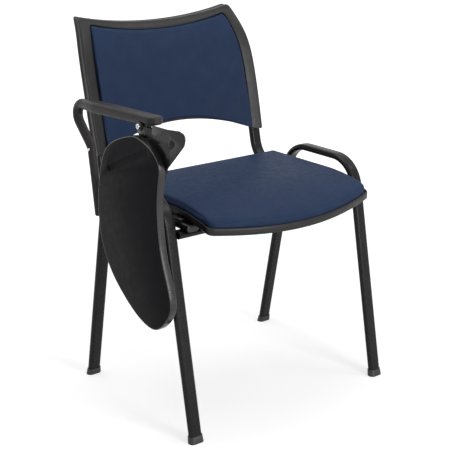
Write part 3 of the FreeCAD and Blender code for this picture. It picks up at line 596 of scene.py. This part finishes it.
def stuff(piece, tags, pressure):
    """Blows the cover up as cloth over its fixed base, and keeps a bounded part of the movement."""
    start = [v.co.copy() for v in piece.data.vertices]
    group = piece.vertex_groups.new(name="base")
    group.add([i for i, tag in enumerate(tags) if tag == FIXED], 1.0, "REPLACE")
    cloth = piece.modifiers.new("cloth", "CLOTH")
    settings = cloth.settings
    settings.quality = 5
    settings.mass = 0.25
    settings.tension_stiffness = 30
    settings.compression_stiffness = 30
    settings.shear_stiffness = 12
    settings.bending_stiffness = 0.4
    settings.air_damping = 4
    settings.use_pressure = True
    settings.uniform_pressure_force = pressure
    settings.vertex_group_mass = "base"
    settings.pin_stiffness = 2.0
    settings.effector_weights.gravity = 0.1
    cloth.collision_settings.use_collision = False
    scene = bpy.context.scene
    for number in range(1, CLOTH_FRAMES + 1):
        scene.frame_set(number)
    graph = bpy.context.evaluated_depsgraph_get()
    posed = piece.evaluated_get(graph).to_mesh()
    moved = [v.co - c for v, c in zip(posed.vertices, start)]
    piece.evaluated_get(graph).to_mesh_clear()
    piece.modifiers.clear()
    scene.frame_set(1)
    for vertex, base, move in zip(piece.data.vertices, start, moved):
        size = move.length
        if size > 1e-9:
            move = move * (MOST_MOVED * math.tanh(size / MOST_MOVED) / size)
        vertex.co = base + move
    piece.data.update()


def cushion(name, point, shape_at, wall, crown, stands_for, pressure):
    """Closed cover: fixed base, side wall, rolled edge and crowned face."""
    low, roll, top = wall
    panel = Panel(*COVER_GRID, point)
    ring = panel.cap(FIXED, **shape_at(2.0, low))
    for inset, rise in ((0.6, low), (0.0, low + 1.0)):
        ring = panel.ring(ring, FIXED, **shape_at(inset, rise))
    ring = panel.ring(ring, FREE, **shape_at(0.0, top - roll))
    for i in range(1, ROLL_STEPS + 1):
        angle = math.pi / 2 * i / ROLL_STEPS
        inset, rise = roll * (1 - math.cos(angle)), top - roll * (1 - math.sin(angle))
        ring = panel.ring(ring, FREE, **shape_at(inset, rise))
    face = panel.cap(FREE, swell=crown, **shape_at(roll + 0.4, top))
    panel.join(ring, face)
    piece = add_piece(name, panel.verts, panel.faces, "vinyl", "chair", stands_for, sharp=80)
    stuff(piece, panel.tags, pressure)
    return piece


def seat_cover():
    def shape_at(inset, rise):
        return {"inset": SEAT_COVER_INSET + inset, "r": max(12 - inset * 0.6, 6), "h": rise}
    return cushion("seat_cover", seat_point, shape_at, wall=(-3.8, 9.0, 17.6), crown=2.2,
                   stands_for=("seat_cushion", "seat_board"), pressure=1.4)


def back_cover():
    def shape_at(inset, rise):
        edge = {key: border + COVER_GAP + inset for key, border in BACK_BORDER.items()}
        return {**edge, "r": max(9 - inset * 0.5, 5), "d": -rise}
    return cushion("back_cover", back_point, shape_at, wall=(-5.8, 6.0, 8.2), crown=0.0,
                   stands_for=("back_cushion", "back_board"), pressure=1.2)


# ---------------------------------------------------------------- arm

def bent(points, radii, step):
    """Centre line in (y, z) with its corners rounded by radii; step sets how close its points are."""
    line = [Vector(points[0])]
    for i, radius in enumerate(radii):
        corner = Vector(points[i + 1])
        before = (Vector(points[i]) - corner).normalized()
        after = (Vector(points[i + 2]) - corner).normalized()
        half = before.angle(after) / 2
        centre = corner + (before + after).normalized() * (radius / math.sin(half))
        p1 = corner + before * (radius / math.tan(half))
        p2 = corner + after * (radius / math.tan(half))
        turn = math.pi - 2 * half
        count = max(4, int(2 * turn * radius / step))
        spoke1, spoke2 = p1 - centre, p2 - centre
        for k in range(count + 1):
            t = k / count
            spoke = (spoke1 * math.sin((1 - t) * turn) + spoke2 * math.sin(t * turn)) / math.sin(turn)
            line.append(centre + spoke)
    line.append(Vector(points[-1]))
    dense = [line[0]]
    for one, two in zip(line, line[1:]):
        count = max(1, int((two - one).length / step))
        for k in range(1, count + 1):
            dense.append(one.lerp(two, k / count))
    return dense


ARM_X = -284.0
ARM_LOW = (111.3, 424.0)
ARM_KNEE = (131.1, 569.2)
ARM_LOOP = (217.8, 655.9)
ARM_RISE = 0.045
ARM_TIP_Y = -129.0
ARM_END = 17.0
ARM_BENDS = [40.0, 25.0]
ARM_STEP = 3.0
ARM_SIDES = 48
POST_R = 8.7
POST_GROWTH = 2.6
POST_GROWN = 0.55        # share of the arm at which its radius has grown
REST_REAR_Y = 165.0
REST_LOW_Z = 640.0       # only the rest lies above it, in front of REST_REAR_Y
REST_HALF_W = 17.6
REST_EASE = 75.0
SLIM_REAR_Y = 40.0
SLIM_EASE = 150.0
SLIM = 2.2
ROUND = 2.0              # squareness of a circle
SQUARER = 1.2
LOW_CAP = 10
TIP_CAP = 14
POINT_R = 0.02           # half height of a cap's last ring
TIP_POWER = 0.8
TIP_EDGE = 0.35          # share of its half height that the tip keeps to the end
BOLT_Y = -89.0
BOLT_Z = 657.0
BORE_R = 9.8
BORE_OUT_X = -330.0
BORE_IN_X = -298.5
BORE_SIDES = 48


def arm_axis_z(y):
    return ARM_LOOP[1] + ARM_RISE * (ARM_LOOP[0] - y)


def ease(t):
    t = min(max(t, 0.0), 1.0)
    return t * t * (3 - 2 * t)


def arm_section(share, y, on_rest):
    """Half width, half height and squareness of the arm's section; share runs along the arm."""
    round_r = POST_R + POST_GROWTH * ease(share / POST_GROWN)
    if not on_rest:
        return round_r, round_r, ROUND
    wide = ease((REST_REAR_Y - y) / REST_EASE)
    slim = ease((SLIM_REAR_Y - y) / SLIM_EASE)
    return (round_r + (REST_HALF_W - round_r) * wide, round_r + 0.6 * wide - SLIM * slim,
            ROUND + SQUARER * wide)


def arm_ring(centre, along, a, b, power):
    """Points round the arm, square to its direction, with half width a and half height b."""
    up = Vector((-along[1], along[0]))
    ring = []
    for k in range(ARM_SIDES):
        angle = 2 * math.pi * k / ARM_SIDES
        c, s = math.cos(angle), math.sin(angle)
        across = a * math.copysign(abs(c) ** (2 / power), c)
        p = centre + up * (b * math.copysign(abs(s) ** (2 / power), s))
        ring.append(at(ARM_X + across, p[0], p[1]))
    return ring


def arm():
    """The arm's cover: a domed foot, the bent post, the rest, its rounded tip and the bolt's bore."""
    tip = (ARM_TIP_Y + ARM_END, arm_axis_z(ARM_TIP_Y + ARM_END))
    line = bent([ARM_LOW, ARM_KNEE, ARM_LOOP, tip], ARM_BENDS, ARM_STEP)
    verts = []
    along = (line[1] - line[0]).normalized()
    for k in range(LOW_CAP, 0, -1):
        t = math.pi / 2 * k / LOW_CAP
        r = max(POST_R * math.cos(t) ** 0.5, POINT_R)
        verts += arm_ring(line[0] - along * (POST_R * 0.6 * math.sin(t)), along, r, r, ROUND)
    count = len(line)
    for i, p in enumerate(line):
        along = (line[min(i + 1, count - 1)] - line[max(i - 1, 0)]).normalized()
        on_rest = p[0] < REST_REAR_Y and p[1] > REST_LOW_Z
        a, b, power = arm_section(i / count, p[0], on_rest)
        verts += arm_ring(p, along, a, b, power)
    for k in range(1, TIP_CAP + 1):
        t = math.pi / 2 * k / TIP_CAP
        plan = max(math.cos(t), 0.001) ** TIP_POWER
        tall = b * (TIP_EDGE + (1 - TIP_EDGE) * max(math.cos(t), 0.0) ** 0.5) if k < TIP_CAP else POINT_R
        verts += arm_ring(line[-1] + along * (ARM_END * math.sin(t)), along, a * plan, tall, power)
    rings = len(verts) // ARM_SIDES
    faces = ring_faces(rings, ARM_SIDES) + end_faces(rings, ARM_SIDES)
    piece = add_piece("arm_moulding", verts, faces, "arm_plastic", "chair", ("arm_cover",), sharp=60)
    bore = cylinder_cutter(BORE_OUT_X, BORE_IN_X, BOLT_Y, BOLT_Z, BORE_R)
    cut = piece.modifiers.new("bore", "BOOLEAN")
    cut.operation = "DIFFERENCE"
    cut.solver = "EXACT"
    cut.object = bore
    apply_modifiers(piece)
    bpy.data.objects.remove(bore)
    piece.data.shade_smooth()
    piece.data.set_sharp_from_angle(angle=math.radians(50))
    return piece


def cylinder_cutter(x0, x1, y, z, r):
    verts = []
    for x in (x0, x1):
        for k in range(BORE_SIDES):
            angle = 2 * math.pi * k / BORE_SIDES
            verts.append(at(x, y + r * math.cos(angle), z + r * math.sin(angle)))
    faces = ring_faces(2, BORE_SIDES) + end_faces(2, BORE_SIDES)
    cutter = bpy.data.objects.new("cutter", closed_mesh("cutter", verts, faces))
    bpy.context.scene.collection.objects.link(cutter)
    return cutter


# ---------------------------------------------------------------- tablet edge

TABLET_IN_X = -305.0
TABLET_OUT_X = -320.0
BAND_POINTS = 420
BAND_EDGE_R = 1.3
BAND_REACH = 2.1         # how far the band's flat faces reach inwards
BAND_ARC = 5             # steps of each rounded edge
IN_PLANE = 1e-5
SQUARE_CORNER = 0.5      # cosine between two faces, below which their edge is a corner
SMOOTHINGS = 3


def outer_loop(node, x_plane):
    """The outer outline of a CAD node's flat face at x_plane, as evenly spaced (y, z) points."""
    shape = welded(frame["nodes"][node].data, CAD_WELD)
    x = at(x_plane, 0, 0).x
    links = {}
    for edge in shape.edges:
        if all(abs(v.co.x - x) < IN_PLANE for v in edge.verts) and len(edge.link_faces) == 2:
            if abs(edge.link_faces[0].normal.dot(edge.link_faces[1].normal)) < SQUARE_CORNER:
                a, b = edge.verts
                links.setdefault(a.index, []).append(b.index)
                links.setdefault(b.index, []).append(a.index)
    shape.verts.ensure_lookup_table()
    start = max(links, key=lambda i: shape.verts[i].co.y)
    loop, previous, here = [start], None, start
    while True:
        following = [i for i in links[here] if i != previous][0]
        if following == start:
            break
        loop.append(following)
        previous, here = here, following
    points = [Vector((shape.verts[i].co.y, shape.verts[i].co.z)) for i in loop]
    shape.free()
    return even(points, BAND_POINTS)


def even(points, count):
    """A closed line as evenly spaced points, slightly smoothed."""
    lengths = [0.0]
    for one, two in zip(points, points[1:] + points[:1]):
        lengths.append(lengths[-1] + (two - one).length)
    ring = points + points[:1]
    placed, k = [], 0
    for i in range(count):
        want = lengths[-1] * i / count
        while lengths[k + 1] < want:
            k += 1
        t = (want - lengths[k]) / (lengths[k + 1] - lengths[k])
        placed.append(ring[k].lerp(ring[k + 1], t))
    for _ in range(SMOOTHINGS):
        placed = [(placed[i - 1] + placed[i] * 2 + placed[(i + 1) % count]) / 4 for i in range(count)]
    return placed


def edge_band():
    """The tablet's edge band, with both outer edges rounded."""
    loop = outer_loop("tablet_edge_band", TABLET_OUT_X)
    count = len(loop)
    area = sum(loop[i - 1].x * loop[i].y - loop[i].x * loop[i - 1].y for i in range(count))
    inward = []
    for i in range(count):
        along = (loop[(i + 1) % count] - loop[i - 1]).normalized()
        normal = Vector((-along.y, along.x))
        inward.append(normal if area > 0 else -normal)
    r = BAND_EDGE_R
    profile = []
    for x, way in ((TABLET_OUT_X, 1), (TABLET_IN_X, -1)):
        arc = []
        for k in range(BAND_ARC + 1):
            t = math.pi / 2 * k / BAND_ARC
            arc.append((r * (1 - math.sin(t)), x + way * r * (1 - math.cos(t))))
        if way < 0:
            arc.reverse()
        flat = (BAND_REACH, x)
        profile += [flat] + arc if way > 0 else arc + [flat]
    verts = []
    for inset, x in profile:
        for p, n in zip(loop, inward):
            q = p + n * inset * MM
            verts.append(Vector((at(x, 0, 0).x, q.x, q.y)))
    faces = ring_faces(len(profile), count, closed=True)
    return add_piece("edge_banding", verts, faces, "tablet_edge", "tablet", ("tablet_edge_band",), sharp=50)


# ---------------------------------------------------------------- assembly of the looks

def dress_cad():
    """Every CAD node that stays takes its slot's material."""
    for name, node in frame["nodes"].items():
        node.data.materials.clear()
        node.data.materials.append(MATERIALS[SLOT_OF[name]])


# How far each CAD node's sharp edges are broken, in mm
EASED = {
    "side_frame_left": 0, "side_frame_right": 0, "front_cross_tube": 0, "rear_cross_tube": 0,
    "back_upright_left": 0.3, "back_upright_right": 0.3,
    "foot_cap_front_left": 0.8, "foot_cap_front_right": 0.8,
    "foot_cap_rear_left": 0.8, "foot_cap_rear_right": 0.8,
    "seat_clips": 0.8, "arm_spacers": 0.4, "arm_core": 0.6,
    "hinge_bracket": 0.5, "bracket_washer": 0.4, "bracket_bolt": 0.25, "bracket_nut": 0.4,
    "hinge_pin": 0.3, "hinge_leaf": 0.5, "pivot_bolt": 0, "friction_washer": 0.3,
    "pivot_washer": 0.2, "pivot_nut": 0.4, "tablet_plate": 0.6, "tablet_board": 0.7,
    "arm_bolts": 0, "arm_screw": 0.3, "back_screws": 0.3, "seat_screws": 0, "tablet_screws": 0.2,
}

dress_cad()
for node_name, edge_width in EASED.items():
    eased(node_name, edge_width)
back_shell()
seat_shell()
seat_skirts()
rail_plugs()
seat_cover()
back_cover()
arm()
edge_band()

# ---------------------------------------------------------------- floor and light

FLOOR_HALF = 60.0
AIM_HEIGHT = 0.45        # the lamps point at this height above the origin


def shown_rays(tree, path):
    """One for a ray that shows the background: from the camera, in a reflection or through glass."""
    seen = path.outputs["Is Camera Ray"]
    for kind in ("Is Glossy Ray", "Is Transmission Ray"):
        either = tree.nodes.new("ShaderNodeMath")
        either.operation = "MAXIMUM"
        tree.links.new(seen, either.inputs[0])
        tree.links.new(path.outputs[kind], either.inputs[1])
        seen = either.outputs[0]
    return seen


def add_floor():
    """Grey to the lamps; what is seen of it glows, and turns white away from the chair."""
    mesh = bpy.data.meshes.new("floor")
    corners = [(x * FLOOR_HALF, y * FLOOR_HALF, 0) for x, y in ((-1, -1), (1, -1), (1, 1), (-1, 1))]
    mesh.from_pydata(corners, [], [(0, 1, 2, 3)])
    floor = bpy.data.objects.new("floor", mesh)
    bpy.context.scene.collection.objects.link(floor)
    material = bpy.data.materials.new("floor")
    material.use_nodes = True
    tree = material.node_tree
    main = tree.nodes["Principled BSDF"]
    main.inputs["Base Color"].default_value = (0.50, 0.50, 0.50, 1)
    main.inputs["Roughness"].default_value = 1.0
    main.inputs["Specular IOR Level"].default_value = 0.0
    glow = tree.nodes.new("ShaderNodeEmission")
    where = tree.nodes.new("ShaderNodeTexCoord")
    reach = tree.nodes.new("ShaderNodeVectorMath")
    reach.operation = "LENGTH"
    tree.links.new(where.outputs["Object"], reach.inputs[0])
    fade = tree.nodes.new("ShaderNodeMapRange")
    fade.interpolation_type = "SMOOTHSTEP"
    for key, value in (("From Min", 0.4), ("From Max", 2.6), ("To Min", 0.66), ("To Max", 1.02)):
        fade.inputs[key].default_value = value
    tree.links.new(reach.outputs["Value"], fade.inputs["Value"])
    tree.links.new(fade.outputs[0], glow.inputs["Strength"])
    both = tree.nodes.new("ShaderNodeAddShader")
    mix = tree.nodes.new("ShaderNodeMixShader")
    path = tree.nodes.new("ShaderNodeLightPath")
    output = tree.nodes["Material Output"]
    tree.links.new(main.outputs[0], both.inputs[0])
    tree.links.new(glow.outputs[0], both.inputs[1])
    tree.links.new(shown_rays(tree, path), mix.inputs[0])
    tree.links.new(main.outputs[0], mix.inputs[1])
    tree.links.new(both.outputs[0], mix.inputs[2])
    tree.links.new(mix.outputs[0], output.inputs["Surface"])
    mesh.materials.append(material)


def add_world():
    """White to look at; as a light it is dim, and brightest from above and slightly in front."""
    world = bpy.data.worlds.new("studio")
    world.use_nodes = True
    bpy.context.scene.world = world
    tree = world.node_tree
    nodes, links = tree.nodes, tree.links
    nodes.clear()
    coords = nodes.new("ShaderNodeTexCoord")
    facing = nodes.new("ShaderNodeVectorMath")
    facing.operation = "DOT_PRODUCT"
    facing.inputs[1].default_value = Vector((0.20, -0.25, 0.95)).normalized()
    links.new(coords.outputs["Generated"], facing.inputs[0])
    levels = nodes.new("ShaderNodeMapRange")
    levels.interpolation_type = "SMOOTHSTEP"
    for key, value in (("From Min", -0.5), ("From Max", 1.0), ("To Min", 0.05), ("To Max", 0.42)):
        levels.inputs[key].default_value = value
    links.new(facing.outputs["Value"], levels.inputs["Value"])
    soft = nodes.new("ShaderNodeBackground")
    links.new(levels.outputs[0], soft.inputs["Strength"])
    soft.inputs["Color"].default_value = (1, 1, 1, 1)
    white = nodes.new("ShaderNodeBackground")
    white.inputs["Color"].default_value = (1, 1, 1, 1)
    white.inputs["Strength"].default_value = 1.0
    mix = nodes.new("ShaderNodeMixShader")
    path = nodes.new("ShaderNodeLightPath")
    links.new(shown_rays(tree, path), mix.inputs[0])
    links.new(soft.outputs[0], mix.inputs[1])
    links.new(white.outputs[0], mix.inputs[2])
    output = nodes.new("ShaderNodeOutputWorld")
    links.new(mix.outputs[0], output.inputs["Surface"])


def add_lamp(name, place_at, size, power):
    data = bpy.data.lights.new(name, "AREA")
    data.shape = "RECTANGLE"
    data.size, data.size_y = size
    data.energy = power
    lamp = bpy.data.objects.new(name, data)
    bpy.context.scene.collection.objects.link(lamp)
    lamp.location = place_at
    aim = Vector(place_at) - Vector((0, 0, AIM_HEIGHT))
    lamp.rotation_euler = aim.to_track_quat("Z", "Y").to_euler()


add_floor()
add_world()
add_lamp("key", (0.45, -3.1, 1.3), (1.0, 1.9), 56)
add_lamp("right", (1.55, -1.15, 2.8), (0.9, 0.9), 12)
add_lamp("top", (-0.3, 0.5, 3.2), (2.2, 2.2), 40)

view = bpy.context.scene.view_settings
view.view_transform = "Standard"
